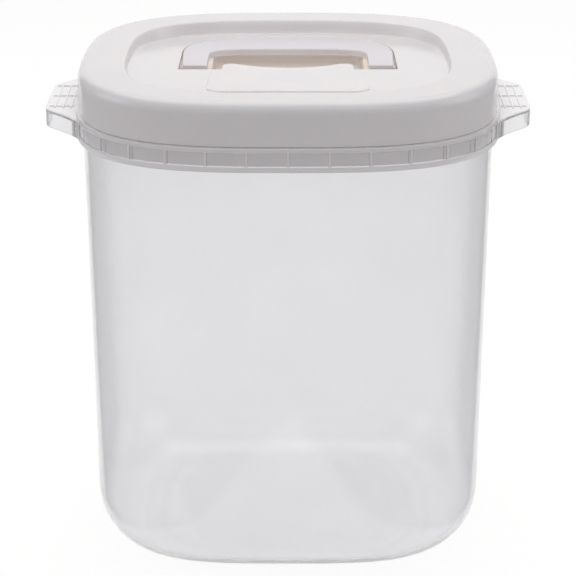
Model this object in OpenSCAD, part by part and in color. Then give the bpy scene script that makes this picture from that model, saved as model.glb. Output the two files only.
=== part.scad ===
// Rice bin: a clear tub with a ribbed rim and two grip ears, under a white lift-off lid.
// The lid has a sloping recess with a fold-flat carry handle over a finger well.
// Millimetres. Origin: centre of the base on the floor. Front is -Y, right is +X, up is +Z.

/* [Tub] */
// Outer width of the tub just under its rim
body_w = 246; // [225:1:300]
// Outer depth of the tub just under its rim
body_d = 234; // [215:1:290]
// Height of the ledge that the lid comes down to
ledge_z = 276.8; // [200:1:330]
// How far each side leans in from the ledge to the base
draft = 3.8; // [1:0.2:8]
// Wall thickness of the tub
wall = 1.9; // [1.4:0.1:3]
// Thickness of the tub's floor
floor_t = 2.6; // [2:0.1:5]
// Radius between the floor and the sides
base_r = 41; // [15:1:50]
// How square the plan is at the base (2 is an ellipse)
base_form = 3.7; // [2.6:0.1:5]
// How square the plan is at the rim and the lid (2 is an ellipse)
top_form = 3; // [2.6:0.1:3.6]
// Height of the neck above the ledge, inside the lid
neck_h = 17.2; // [12:0.2:24]
// How far the neck steps in from the tub's side
neck_step = 0.8; // [0.4:0.1:2]

/* [Rim] */
// How far the rim stands out from the tub's side
rim_out = 4; // [3:0.5:8]
// Height of the rim band
rim_h = 14; // [11:0.5:20]
// Thickness of the rim's hanging skirt
rim_wall = 1.6; // [1.2:0.1:2.4]
// Height of the bead along the top of the band
top_bead_h = 2.4; // [1.5:0.1:4]
// Height of the bead along the foot of the band
foot_bead_h = 3.2; // [1.5:0.1:4]
// How far the band's panels lie behind its beads
panel_sink = 0.6; // [0.3:0.1:1]
// Distance from one rib of the band to the next
rib_pitch = 24.3; // [15:0.1:40]
// Thickness of a rib
rib_t = 1.3; // [0.8:0.1:2.5]

/* [Ears] */
// Length of an ear's straight outer edge
ear_len = 60; // [40:1:80]
// How far an ear stands out from the rim
ear_out = 18; // [12:0.5:30]
// Length of the swept flank at each end of an ear
ear_flank = 34; // [20:1:50]
// Radius of an ear's outer corners
ear_corner = 5; // [2:0.5:10]
// How quickly the flank falls to the rim
ear_sweep = 1.9; // [1.5:0.1:3.5]
// Height of an ear, from its top to the foot of its skirt
ear_h = 11.2; // [9:0.2:14]
// How far an ear's top lies below the ledge
ear_drop = 1.5; // [0.5:0.1:4]
// Thickness of an ear's top plate
ear_plate_t = 2; // [1.5:0.1:3]
// Thickness of an ear's skirt
ear_wall = 1.8; // [1.2:0.1:2.5]
// Distance between the fine grip ribs on an ear
grip_pitch = 4.8; // [3:0.1:8]
// Distance between the cross ribs on an ear
cross_pitch = 24; // [10:1:30]
// Width of a grip rib
grip_w = 1; // [0.6:0.1:2]
// Height of a grip rib
grip_h = 0.5; // [0.3:0.1:1]
// Margin left between the grip ribs and the ear's edges
grip_margin = 2; // [1:0.5:5]

/* [Lid] */
// Height of the lid's side, from its lower edge to its top
lid_h = 24.6; // [21:0.2:32]
// Wall thickness of the lid's side
lid_wall = 2; // [1.4:0.1:3]
// Thickness of the lid's top and of its recess floor
lid_top_t = 2.2; // [1.6:0.1:3.5]
// Radius of the lid's top edge
lid_edge_r = 6.3; // [3:0.1:9]
// How far the lid's inner ring reaches down into the tub below the ledge
plug_drop = 16.2; // [4:0.1:20]
// Thickness of that ring, which also holds the seal
plug_t = 1.4; // [1:0.1:2.5]
// Width of the raised border round the recess
border_w = 27; // [20:1:32]
// How square the recess is in plan
recess_form = 3.2; // [2.4:0.1:4.5]
// Depth of the recess at its back; it comes up flush at the front
recess_drop = 8.2; // [4:0.1:12]
// Plan width of the recess's sloping side where it is deepest
recess_run = 5; // [2.5:0.1:8]
// Height of the raised panel's front edge; it leaves the recess floor at the handle
panel_h = 0.9; // [0.4:0.1:2]
// How much narrower the panel is than the space inside the handle, on each side
panel_inset = 2; // [0:0.5:10]
// Corner radius of that panel
panel_r = 9.5; // [3:0.5:15]

/* [Handle] */
// Width of the handle over its legs at the bend
handle_w = 129.4; // [115:0.2:140]
// Width of each leg at the bend
leg_w = 16.2; // [10:0.2:20]
// How much each leg narrows on its outer side towards the pivot
leg_taper = 1.7; // [0:0.1:3]
// Thickness of the handle
handle_t = 4.2; // [3:0.1:5]
// Plan width of the crossbar, the part that the hand holds
bar_w = 40; // [20:1:45]
// Depth of the rounded back of the handle
bend_d = 52; // [35:1:60]
// How square the handle's back is in plan
bend_form = 2.5; // [2:0.1:4]
// Depth of the rounded back of the space inside the handle
grip_bend = 22; // [10:1:30]
// How square that space is in plan
grip_form = 4; // [2.5:0.1:5]
// Flat strip left between the handle and the recess's back slope
back_strip = 10; // [5:0.5:14]
// Y of the pivot axis
pivot_y = -8; // [-14:0.5:0]
// Depth of the pivot axis below the recess floor
pivot_drop = 5; // [4.8:0.1:6.5]
// Radius of the handle's pivot pins
pin_r = 2.2; // [1.6:0.1:2.4]
// How much thicker the pin's root is, all round
pin_root = 0.7; // [0.3:0.1:1]
// How far the legs reach past the pivot axis
heel = 6.5; // [5:0.1:9]
// Thickness of the handle at its pivots
heel_t = 8; // [7.4:0.1:10]
// Wall left round the hollow under the handle
handle_wall = 2.4; // [1.6:0.1:4]
// Thickness of the handle's top over that hollow
handle_skin = 2; // [1.4:0.1:3]
// Distance between the ribs in the hollow
stay_pitch = 15; // [10:1:25]
// Thickness of those ribs
stay_t = 1.6; // [1:0.1:3]
// Angle at which the raised handle comes to its stop
stop_angle = 98; // [92:1:105]

/* [Finger well] */
// Gap between the pivot axis and the front edge of the opening
notch = 19; // [14:0.5:26]
// Width of the tongue at the front of the opening
tongue_w = 78.4; // [60:0.2:84]
// How far the tongue reaches over the well
tongue_l = 17; // [12:0.5:22]
// Radius of the tongue's two round horns
horn_r = 5.6; // [3:0.1:8]
// Radius of the finger scoop between the horns
scoop_r = 46; // [38:1:80]
// Depth of the well below the recess floor
well_depth = 20; // [16:0.5:22]
// How far the well stops short of the handle's back edge
well_margin = 2; // [1:0.5:10]
// Wall thickness of the tray
tray_wall = 2; // [1.4:0.1:3]
// Thickness of the tray's bearing walls, which carry the pivots
bearing_t = 3; // [2:0.1:5]
// Width of the tray's flange, fixed under the lid
flange_w = 8; // [5:0.5:10]
// Thickness of that flange
flange_t = 1.8; // [1.2:0.1:3]

/* [Seal] */
// Height of the seal ring
seal_h = 5.2; // [3:0.1:7]
// Width of the seal ring
seal_w = 3.8; // [2.5:0.1:5]
// Size of the bevels on the seal's lips
seal_bevel = 1.2; // [0.6:0.1:1.4]

/* [Clearances] */
// Space between the neck and the inside of the lid
neck_fit = 0.8; // [0.4:0.1:1.5]
// Space between bodies that lie on each other
rest_gap = 0.3; // [0.2:0.05:0.6]
// Space round the folded handle
handle_gap = 0.5; // [0.4:0.1:1.2]
// Space under the legs' front ends as they swing down
swing_gap = 1.6; // [0.5:0.1:3]
// Space all round a pivot pin in its bore
pin_gap = 0.05; // [0.02:0.01:0.1]

/* [Smoothness] */
// Points round the tub, the lid and the seal
plan_points = 96; // [48:8:120]
// Steps in a fillet
fillet_steps = 7; // [3:1:9]
// Steps round the back of the handle
bow_steps = 28; // [16:2:40]
// Sides of a pivot pin and of its bore
pin_sides = 48; // [24:8:72]

/* [Hidden] */

half_w = body_w / 2;
half_d = body_d / 2;
rim_foot_z = ledge_z - rim_h;
neck_z = ledge_z + neck_h;
edge_r = 0.5;
neck_bend = 1;
wall_steps = 4;

// Lid, measured outward from the tub's side
lid_in_off = -neck_step + neck_fit;
lid_off = lid_in_off + lid_wall;
lid_half_w = half_w + lid_off;
lid_half_d = half_d + lid_off;
lid_foot_z = ledge_z + rest_gap;
lid_z = lid_foot_z + lid_h;
under_z = lid_z - lid_top_t;

// Recess: its floor is a ramp, flush with the border in front and deepest at the back
recess_a = lid_half_w - border_w;
recess_b = lid_half_d - border_w;
ramp = atan(recess_drop / (2 * recess_b));
ramp_z0 = lid_z - recess_drop / 2;
plate_v = lid_top_t / cos(ramp);
front_run = 1;
slope_back = 1.6;
slope_steps = 6;

// Handle, in the ramp's own frame: y runs back along the ramp, z stands square on it
handle_a = handle_w / 2;
handle_back = recess_b - recess_run - back_strip;
bend_y = handle_back - bend_d;
grip_a = handle_a - leg_w;
grip_back = handle_back - bar_w;
heel_y = pivot_y - heel;
heel_end = pivot_y + heel;
heel_reach = norm([heel, pivot_drop]);
heel_corner = norm([heel, heel_t - pivot_drop]);
heel_back = pivot_y + heel_corner + handle_gap;
pocket_a = handle_a + handle_gap;
pocket_front = pivot_y - notch;

// Tray
well_a = grip_a - tray_wall - rest_gap;
well_back = handle_back - well_margin;
bar_shelf = handle_t + rest_gap;
heel_shelf = heel_t + rest_gap;
heel_start = atan2(heel_t - pivot_drop, heel);
stop_y = pivot_y + heel_corner * cos(180 + heel_start + stop_angle);
trough_depth = pivot_drop + heel_reach + swing_gap;

// Seal and the ring inside it
seal_z = under_z - seal_h;
seal_out = lid_in_off - rest_gap;
plug_out = seal_out - seal_w - rest_gap;
plug_foot_z = ledge_z - plug_drop;

eps = 0.02;

function spow(v, p) = sign(v) * pow(abs(v), p);
// A point of a superellipse, and the outward normal there
function se(a, b, n, t) = [a * spow(cos(t), 2 / n), b * spow(sin(t), 2 / n)];
function se_normal(a, b, n, p) =
    let (g = [spow(p[0] / a, n - 1) / a, spow(p[1] / b, n - 1) / b]) g / norm(g);
function turn(i) = 360 * i / plan_points;
// A level ring that follows the tub's plan, out by off from the tub's side
function level_ring(off, z, n = top_form) =
    [for (i = [0 : plan_points - 1])
        let (p = se(half_w + off, half_d + off, n, turn(i))) [p[0], p[1], z]];
function arc(c, r, a0, a1, steps) =
    [for (i = [0 : steps]) let (a = a0 + (a1 - a0) * i / steps) c + r * [cos(a), sin(a)]];

// Tub side: lean and squareness at a height; the squareness changes faster low down
form_rise = 0.6;
function side_k(z) = (z - base_r) / (ledge_z - base_r);
function side_off(z) = -draft * (1 - side_k(z));
function side_form(z) = base_form + (top_form - base_form) * pow(max(0, side_k(z)), form_rise);
function base_rings(r, skin) =
    [for (i = [0 : fillet_steps])
        let (a = 90 * (1 - i / fillet_steps))
        level_ring(side_off(base_r) - skin - r * (1 - cos(a)), base_r - r * sin(a), base_form)];
function wall_rings(skin, top) =
    [for (i = [1 : wall_steps])
        let (z = base_r + (top - base_r) * i / wall_steps) level_ring(side_off(z) - skin, z, side_form(z))];
function reversed(v) = [for (i = [len(v) - 1 : -1 : 0]) v[i]];

// Closed skin through a list of rings, capped at both ends or joined end to start
module loft(rings, joined = false) {
    n = len(rings[0]);
    m = len(rings);
    last = joined ? m : m - 1;
    points = [for (r = rings) each r];
    sides = [for (j = [0 : last - 1]) let (k = (j + 1) % m) for (i = [0 : n - 1])
        let (h = (i + 1) % n)
        each [[j * n + i, k * n + h, k * n + i], [j * n + i, j * n + h, k * n + h]]];
    caps = joined ? [] : [[for (i = [n - 1 : -1 : 0]) i], [for (i = [0 : n - 1]) (m - 1) * n + i]];
    polyhedron(points, concat(sides, caps), convexity = 10);
}

// Puts its children in the ramp's frame
module on_ramp() {
    translate([0, 0, ramp_z0]) rotate([-ramp, 0, 0]) children();
}

module both_sides() {
    children();
    mirror([1, 0, 0]) children();
}

// ---- Container: tub, neck, rim band and ears, one clear moulding ----

rim_a = half_w + rim_out;
rim_b = half_d + rim_out;

function container_rings() = concat(
    base_rings(base_r - floor_t, wall),
    wall_rings(wall, ledge_z - neck_bend),
    [level_ring(-neck_step - wall, ledge_z + neck_bend),
     level_ring(-neck_step - wall, neck_z - edge_r),
     level_ring(-neck_step - wall + edge_r, neck_z),
     level_ring(-neck_step - edge_r, neck_z),
     level_ring(-neck_step, neck_z - edge_r),
     level_ring(-neck_step, ledge_z),
     level_ring(rim_out - edge_r, ledge_z),
     level_ring(rim_out, ledge_z - edge_r),
     level_ring(rim_out, ledge_z - top_bead_h),
     level_ring(rim_out - panel_sink, ledge_z - top_bead_h - panel_sink / 2),
     level_ring(rim_out - panel_sink, rim_foot_z + foot_bead_h + panel_sink / 2),
     level_ring(rim_out, rim_foot_z + foot_bead_h),
     level_ring(rim_out, rim_foot_z + edge_r),
     level_ring(rim_out - edge_r, rim_foot_z),
     level_ring(rim_out - rim_wall, rim_foot_z),
     level_ring(rim_out - rim_wall, ledge_z - top_bead_h),
     level_ring(side_off(ledge_z), ledge_z - top_bead_h)],
    reversed(wall_rings(0, ledge_z - top_bead_h - neck_bend)),
    reversed(base_rings(base_r, 0)));

// Places on the rim at equal distances along it, each with its outward direction
rim_steps = 4 * plan_points;
rim_walk = [for (i = [0 : rim_steps]) se(rim_a, rim_b, top_form, 360 * i / rim_steps)];
rim_sums = [for (i = 0, s = 0; i <= rim_steps;
    s = s + norm(rim_walk[min(i + 1, rim_steps)] - rim_walk[i]), i = i + 1) s];
rim_girth = rim_sums[rim_steps];
rib_count = 4 * round(rim_girth / rib_pitch / 4);
function rim_point(s) = [for (axis = [0, 1])
    lookup(s, [for (i = [0 : rim_steps]) [rim_sums[i], rim_walk[i][axis]]])];

module rim_ribs() {
    rib_h = rim_h - top_bead_h / 2 - foot_bead_h / 2;
    for (k = [0 : rib_count - 1]) {
        p = rim_point(rim_girth * k / rib_count);
        g = se_normal(rim_a, rim_b, top_form, p);
        if (abs(p[1]) > ear_len / 2 + ear_flank)
            translate([p[0], p[1], rim_foot_z + foot_bead_h / 2])
                rotate([0, 0, atan2(g[1], g[0])])
                    translate([-rim_out - wall / 2, -rib_t / 2, 0])
                        cube([rim_out + wall / 2, rib_t, rib_h]);
    }
}

// Ear outline: the rim's own curve plus a flat-topped swell
flank_share = 0.85;
flank_steps = 9;
round_share = 0.3;
hollow_tip = 1.2;
ear_top_z = ledge_z - ear_drop;
ear_foot_z = ear_top_z - ear_h;
ear_end = ear_len / 2 + flank_share * ear_flank;
ear_half = concat(
    [0, ear_len / 4, ear_len / 2 - ear_corner, ear_len / 2 - ear_corner / 2],
    [for (i = [0 : flank_steps]) ear_len / 2 + flank_share * ear_flank * i / flank_steps]);
function rim_x(y) = rim_a * pow(1 - pow(min(1, abs(y) / rim_b), top_form), 1 / top_form);
function swell(y) = pow(1 - max(0, min(1, (abs(y) - ear_len / 2) / ear_flank)), ear_sweep);
// What the rounded corner takes off the swell, near the end of the straight edge
function corner_cut(y) = round_share * ear_corner * pow(max(0, 1 - abs(abs(y) - ear_len / 2) / ear_corner), 2);
// An ear's y stations, from -y_end to y_end
function ear_stations(y_end) =
    let (half = concat([for (y = ear_half) if (y < y_end - eps) y], [y_end]))
    concat([for (y = reversed(half)) -y], [for (i = [1 : len(half) - 1]) half[i]]);
// Plan of an ear or of its hollow: in by inset from the outer edge, its flanks drawn in by along
module ear_plan(y_end, root, inset = 0, along = 0) {
    ys = ear_stations(y_end);
    polygon(concat(
        [for (y = ys) [rim_x(y) + ear_out * swell(abs(y) + along) - corner_cut(y) - inset, y]],
        [for (y = reversed(ys)) [rim_x(y) - root, y]]));
}
// The hollow ends where only hollow_tip is left between its outer side and the rim
ear_hollow_end = ear_len / 2 - ear_wall
    + ear_flank * (1 - pow((ear_wall + hollow_tip) / ear_out, 1 / ear_sweep));
module ear() {
    difference() {
        translate([0, 0, ear_foot_z]) linear_extrude(ear_h) ear_plan(ear_end, rim_wall / 2);
        translate([0, 0, ear_foot_z - 1]) linear_extrude(ear_h - ear_plate_t + 1)
            ear_plan(ear_hollow_end, rim_wall, ear_wall, ear_wall);
    }
    ear_grip();
}
module ear_grip() {
    reach = ear_out - grip_margin - grip_w;
    strip_y = ear_len / 2 - grip_margin;
    for (x = [grip_pitch / 2 : grip_pitch : reach])
        translate([rim_a + x - grip_w / 2, -strip_y, ear_top_z - eps])
            cube([grip_w, 2 * strip_y, grip_h]);
    for (y = [-cross_pitch, 0, cross_pitch])
        translate([rim_a + edge_r, y - grip_w / 2, ear_top_z - eps])
            cube([reach, grip_w, grip_h]);
}

module container() color([0.88, 0.89, 0.9, 0.55]) {
    loft(container_rings());
    rim_ribs();
    both_sides() ear();
}

// ---- Lid cover ----

function ramp_at(y) = ramp_z0 - y * tan(ramp);
// Ring on the recess's slope: k is 0 at the border and 1 at the floor
function slope_ring(k, under) = [for (i = [0 : plan_points - 1]) let (
    p = se(recess_a, recess_b, recess_form, turn(i)),
    g = se_normal(recess_a, recess_b, recess_form, p),
    deep = max(0, lid_z - ramp_at(p[1])) / recess_drop,
    run = front_run + (recess_run - front_run) * deep,
    q = p - g * (run * k - under * slope_back),
    fall = (lid_z - ramp_at(q[1])) * (1 - cos(180 * k)) / 2)
    [q[0], q[1], lid_z - fall - under * plate_v]];
slope_ks = [for (i = [0 : slope_steps]) i / slope_steps];

function lid_rings() = concat(
    [for (k = reversed(slope_ks)) slope_ring(k, 0)],
    [for (i = [0 : fillet_steps]) let (a = 90 * i / fillet_steps)
        level_ring(lid_off - lid_edge_r * (1 - sin(a)), lid_z - lid_edge_r * (1 - cos(a)))],
    [level_ring(lid_off, lid_foot_z + edge_r),
     level_ring(lid_off - edge_r, lid_foot_z),
     level_ring(lid_in_off, lid_foot_z),
     level_ring(lid_in_off, under_z),
     level_ring(plug_out, under_z),
     level_ring(plug_out, plug_foot_z + edge_r),
     level_ring(plug_out - edge_r, plug_foot_z),
     level_ring(plug_out - plug_t, plug_foot_z),
     level_ring(plug_out - plug_t, under_z)],
    [for (k = slope_ks) slope_ring(k, 1)]);

// Opening for the folded handle, grown by m
function pocket_points(m) = concat(
    [[pocket_a + m, pocket_front - m]],
    bow(pocket_a + m, bend_d + handle_gap + m, bend_y, bend_form),
    [[-pocket_a - m, pocket_front - m]]);

// Tongue with two round horns and the finger scoop between them
horn_x = tongue_w / 2 - horn_r;
horn_y = pocket_front + tongue_l - horn_r;
scoop_c = [0, horn_y + sqrt(pow(scoop_r + horn_r, 2) - horn_x * horn_x)];
scoop_a = atan2(scoop_c[1] - horn_y, horn_x);
module tongue_plan(root) {
    polygon(concat(
        [[-tongue_w / 2, pocket_front - root]],
        arc([-horn_x, horn_y], horn_r, 180, scoop_a, fillet_steps),
        arc(scoop_c, scoop_r, 180 + scoop_a, 360 - scoop_a, 2 * fillet_steps),
        arc([horn_x, horn_y], horn_r, 180 - scoop_a, 0, fillet_steps),
        [[tongue_w / 2, pocket_front - root]]));
}
// Raised panel: it leaves the recess floor at the opening and stands proud at its front edge
module panel() {
    a = grip_a - panel_inset;
    front = -recess_b;
    tilt = atan(panel_h / (pocket_front - front));
    translate([0, pocket_front, 0]) rotate([-tilt, 0, 0])
        translate([0, -pocket_front, -lid_top_t / 2]) linear_extrude(lid_top_t / 2)
            polygon(concat(
                arc([-a + panel_r, front + panel_r], panel_r, 180, 270, fillet_steps),
                arc([a - panel_r, front + panel_r], panel_r, 270, 360, fillet_steps),
                [[a, pocket_front], [-a, pocket_front]]));
}

module lid_cover() color([0.91, 0.91, 0.92]) {
    difference() {
        loft(lid_rings());
        on_ramp() translate([0, 0, -3 * lid_top_t]) linear_extrude(5 * lid_top_t)
            difference() {
                polygon(pocket_points(0));
                tongue_plan(1);
            }
    }
    on_ramp() panel();
}

// ---- Finger tray: the well, the shelves under the legs and the pivot bearings ----

module tray_box(a, y0, y1, depth) {
    translate([-a, y0, -depth]) cube([2 * a, y1 - y0, depth - lid_top_t]);
}
module side_void(y0, y1, depth) {
    both_sides() translate([grip_a - rest_gap, y0, -depth])
        cube([pocket_a - grip_a + rest_gap, y1 - y0, depth]);
}
module finger_tray() color([0.88, 0.83, 0.77]) on_ramp() {
    difference() {
        union() {
            translate([0, 0, -lid_top_t - flange_t]) linear_extrude(flange_t)
                polygon(pocket_points(flange_w));
            translate([0, 0, -bar_shelf - tray_wall]) linear_extrude(bar_shelf + tray_wall - lid_top_t)
                polygon(pocket_points(bearing_t));
            tray_box(pocket_a + bearing_t, pocket_front - tray_wall, heel_back + tray_wall,
                trough_depth + tray_wall);
            tray_box(well_a + tray_wall, pocket_front - tray_wall, well_back + tray_wall,
                well_depth + tray_wall);
        }
        translate([0, 0, -bar_shelf]) linear_extrude(bar_shelf) polygon(pocket_points(0));
        side_void(pocket_front, stop_y, trough_depth);
        side_void(stop_y - eps, heel_back, heel_shelf);
        translate([-well_a, pocket_front, -well_depth])
            cube([2 * well_a, well_back - pocket_front, well_depth]);
        both_sides() translate([pocket_a - 1, pivot_y, -pivot_drop]) rotate([0, 90, 0])
            cylinder(h = bearing_t + 2, r = pin_r + pin_gap, $fn = pin_sides);
    }
}

// ---- Lid seal ----

module lid_seal() color([0.82, 0.83, 0.83]) {
    seal_in = seal_out - seal_w;
    loft([
        level_ring(seal_out, under_z),
        level_ring(seal_out, seal_z + seal_bevel),
        level_ring(seal_out - seal_bevel, seal_z),
        level_ring(seal_in + seal_bevel, seal_z),
        level_ring(seal_in, seal_z + seal_bevel),
        level_ring(seal_in, under_z)], joined = true);
}

// ---- Carry handle ----

function bow(a, b, y0, n) = [for (i = [0 : bow_steps]) [0, y0] + se(a, b, n, 180 * i / bow_steps)];
// U-shaped outline, drawn in by m from every edge
function handle_points(m, start) = concat(
    [[handle_a - leg_taper - m, start]],
    bow(handle_a - m, bend_d - m, bend_y, bend_form),
    [[-handle_a + leg_taper + m, start], [-grip_a - m, start]],
    reversed(bow(grip_a + m, grip_bend + m, grip_back - grip_bend, grip_form)),
    [[grip_a + m, start]]);
module handle_hollow() {
    last = floor(grip_a / stay_pitch);
    translate([0, 0, -handle_t - 1]) linear_extrude(handle_t - handle_skin + 1) difference() {
        polygon(handle_points(handle_wall, heel_end + handle_wall));
        for (k = [-last : last])
            translate([k * stay_pitch - stay_t / 2, grip_back - grip_bend])
                square([stay_t, bar_w + grip_bend]);
    }
}
module carry_handle() color([0.89, 0.89, 0.91]) on_ramp() {
    difference() {
        translate([0, 0, -handle_t]) linear_extrude(handle_t) polygon(handle_points(0, heel_y));
        handle_hollow();
    }
    both_sides() {
        translate([grip_a, heel_y, -heel_t])
            cube([leg_w - leg_taper, heel_end - heel_y, heel_t - eps]);
        translate([handle_a - leg_w / 2, pivot_y, -pivot_drop]) rotate([0, 90, 0]) {
            cylinder(h = leg_w / 2 + handle_gap - rest_gap, r = pin_r + pin_root, $fn = pin_sides);
            cylinder(h = leg_w / 2 + handle_gap + bearing_t - rest_gap, r = pin_r, $fn = pin_sides);
        }
    }
}

container();
lid_cover();
finger_tray();
lid_seal();
carry_handle();
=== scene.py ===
import math

import bmesh
import bpy
from mathutils import Matrix, Vector
from mathutils.geometry import delaunay_2d_cdt


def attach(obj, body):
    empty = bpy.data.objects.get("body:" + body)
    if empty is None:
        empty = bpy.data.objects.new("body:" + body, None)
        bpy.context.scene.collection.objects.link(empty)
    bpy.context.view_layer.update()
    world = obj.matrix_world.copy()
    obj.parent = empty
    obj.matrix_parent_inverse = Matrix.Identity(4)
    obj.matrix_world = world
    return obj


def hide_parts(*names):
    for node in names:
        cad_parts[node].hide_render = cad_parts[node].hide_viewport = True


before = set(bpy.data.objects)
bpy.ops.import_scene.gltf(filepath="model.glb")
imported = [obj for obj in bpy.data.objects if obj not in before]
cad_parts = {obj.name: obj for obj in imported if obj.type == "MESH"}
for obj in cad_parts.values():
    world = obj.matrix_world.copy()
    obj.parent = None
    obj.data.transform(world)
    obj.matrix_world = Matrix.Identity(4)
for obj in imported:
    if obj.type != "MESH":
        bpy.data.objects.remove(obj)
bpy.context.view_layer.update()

mm = 0.001                       # the pieces are sized in millimetres, which go through this
noiseLow, noiseHigh = 0.3, 0.7   # nearly all of a noise texture lies between these


def linearColor(code):
    parts = [int(code[i:i + 2], 16) / 255 for i in (0, 2, 4)]
    return [c / 12.92 if c <= 0.04045 else ((c + 0.055) / 1.055) ** 2.4 for c in parts] + [1]


def addNode(tree, kind, settings=None, inputs=None):
    # an input is a plain value, or a pair of (node, name of its output) to link from
    node = tree.nodes.new(kind)
    for key, value in (settings or {}).items():
        setattr(node, key, value)
    for key, value in (inputs or {}).items():
        if isinstance(value, tuple):
            tree.links.new(value[0].outputs[value[1]], node.inputs[key])
        else:
            node.inputs[key].default_value = value
    return node


def startMaterial(name):
    material = bpy.data.materials.new(name)
    material.use_nodes = True
    tree = material.node_tree
    tree.nodes.clear()
    return material, tree


# the tub's own sizes: the rim, the ears and the lid are set from them
tub = dict(
    halfW=123, halfD=117,          # the side just under the rim
    lean=3.8, baseR=41,            # how far the side narrows to its foot, and the foot's roundness
    ledge=276.8, neckTop=294, neckStep=0.8, neckRise=1, edge=0.5,
    wall=1.9, floor=2.6,
    baseForm=3.7, topForm=3,       # squareness of the plan: 2 is an ellipse
    formRise=0.6,                  # below 1, the plan takes its upper form early
    innerTop=4, outerTop=8,        # how far below the ledge each skin of the side ends
)
smooth = dict(around=288, fillet=5, base=14, side=12)


def signedPower(value, power):
    return math.copysign(abs(value) ** power, value)


def planPoint(halfX, halfY, form, angle):
    c, s = math.cos(angle), math.sin(angle)
    reach = (abs(c / halfX) ** form + abs(s / halfY) ** form) ** (-1 / form)
    return Vector((reach * c, reach * s))


def planNormal(halfX, halfY, form, p):
    slope = Vector((signedPower(p.x / halfX, form - 1) / halfX,
                    signedPower(p.y / halfY, form - 1) / halfY))
    return slope.normalized()


def levelRing(out, z, form=tub["topForm"]):
    turns = [2 * math.pi * i / smooth["around"] for i in range(smooth["around"])]
    points = [planPoint(tub["halfW"] + out, tub["halfD"] + out, form, a) for a in turns]
    return [Vector((p.x, p.y, z)) for p in points]


def sideShare(z):
    return (z - tub["baseR"]) / (tub["ledge"] - tub["baseR"])


def sideOut(z):
    return -tub["lean"] * (1 - sideShare(z))


def sideForm(z):
    share = min(1, max(0, sideShare(z)))
    return tub["baseForm"] + (tub["topForm"] - tub["baseForm"]) * share ** tub["formRise"]


def halfBow(a, b, y0, form, steps):
    points = [planPoint(a, b, form, math.pi * i / steps) for i in range(steps + 1)]
    return [Vector((p.x, p.y + y0)) for p in points]


def bowY(a, b, y0, form, x):
    # height of such a bow over one place along it
    return y0 + b * (1 - (abs(x) / a) ** form) ** (1 / form)


def roundCorners(points, steps=smooth["fillet"], closed=False):
    # points are (x, y, radius): each corner becomes an arc, and an open line keeps its two ends
    path = []
    count = len(points)
    for k, (x, y, r) in enumerate(points):
        p = Vector((x, y))
        if not r or (k in (0, count - 1) and not closed):
            path.append(p)
            continue
        a = Vector(points[k - 1][:2]) - p
        b = Vector(points[(k + 1) % count][:2]) - p
        half = a.angle(b) / 2
        reach = min(r / math.tan(half), 0.49 * a.length, 0.49 * b.length)
        start, end = p + a.normalized() * reach, p + b.normalized() * reach
        centre = p + (a.normalized() + b.normalized()).normalized() * reach / math.cos(half)
        sweep = (start - centre).angle_signed(end - centre)
        for i in range(steps + 1):
            turn = Matrix.Rotation(-sweep * i / steps, 2)
            path.append(centre + turn @ (start - centre))
    return path


def quarterTurn(steps):
    # a rounded edge as shares of its radius: how far in it still is, and how far it has risen
    turns = [math.pi / 2 * i / steps for i in range(steps + 1)]
    return [(1 - math.sin(a), 1 - math.cos(a)) for a in turns]


def addRings(mesh, rings, joined=False):
    rows = [[mesh.verts.new(p) for p in ring] for ring in rings]
    pairs = list(zip(rows, rows[1:])) + ([(rows[-1], rows[0])] if joined else [])
    for low, high in pairs:
        for i in range(len(low)):
            j = (i + 1) % len(low)
            mesh.faces.new((low[i], low[j], high[j], high[i]))
    return rows


def offsetLoop(points, inward):
    # moves every edge of a closed counter-clockwise outline inward by the same distance
    moved = []
    count = len(points)
    for i, p in enumerate(points):
        before, after = p - points[i - 1], points[(i + 1) % count] - p
        a = Vector((-before.y, before.x)).normalized()
        b = Vector((-after.y, after.x)).normalized()
        middle = (a + b).normalized()
        moved.append(p + middle * inward / max(0.3, middle.dot(a)))   # a sharp corner moves less
    return moved


def arcPoints(centre, radius, start, end, steps):
    angles = [math.radians(start + (end - start) * i / steps) for i in range(steps + 1)]
    x, y = centre
    return [Vector((x + radius * math.cos(a), y + radius * math.sin(a))) for a in angles]


def addSlab(mesh, outline, levels, place):
    # stacks copies of an outline: levels are (inset, height); both ends are closed
    rings = []
    for inset, z in levels:
        loop = offsetLoop(outline, inset) if inset else outline
        rings.append([place(p.x, p.y, z) for p in loop])
    rows = addRings(mesh, rings)
    mesh.faces.new(rows[0][::-1])
    mesh.faces.new(rows[-1])


def upright(x, y, z):
    return Vector((x, y, z))


def newObject(name, mesh):
    bmesh.ops.recalc_face_normals(mesh, faces=mesh.faces)
    bmesh.ops.scale(mesh, vec=(mm, mm, mm), verts=mesh.verts)
    data = bpy.data.meshes.new(name)
    mesh.to_mesh(data)
    mesh.free()
    piece = bpy.data.objects.new(name, data)
    bpy.context.collection.objects.link(piece)
    return piece


def slabPiece(name, outline, levels, place):
    mesh = bmesh.new()
    addSlab(mesh, outline, levels, place)
    return newObject(name, mesh)


boxEnds = 0.8   # a box's two ends are rounded by this share of its upright edges


def boxPiece(name, low, high, r, place):
    corners = [(low[0], low[1], r), (high[0], low[1], r), (high[0], high[1], r), (low[0], high[1], r)]
    soft = boxEnds * r
    levels = [(soft * inset, low[2] + soft * rise) for inset, rise in quarterTurn(4)]
    levels += [(inset, high[2] - (z - low[2])) for inset, z in reversed(levels)]
    return slabPiece(name, roundCorners(corners, 5, closed=True), levels, place)


def combine(piece, other, operation):
    change = piece.modifiers.new("join", "BOOLEAN")
    change.operation = operation
    change.solver = "MANIFOLD"
    change.object = other
    applyModifiers(piece)
    bpy.data.objects.remove(other)


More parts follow.
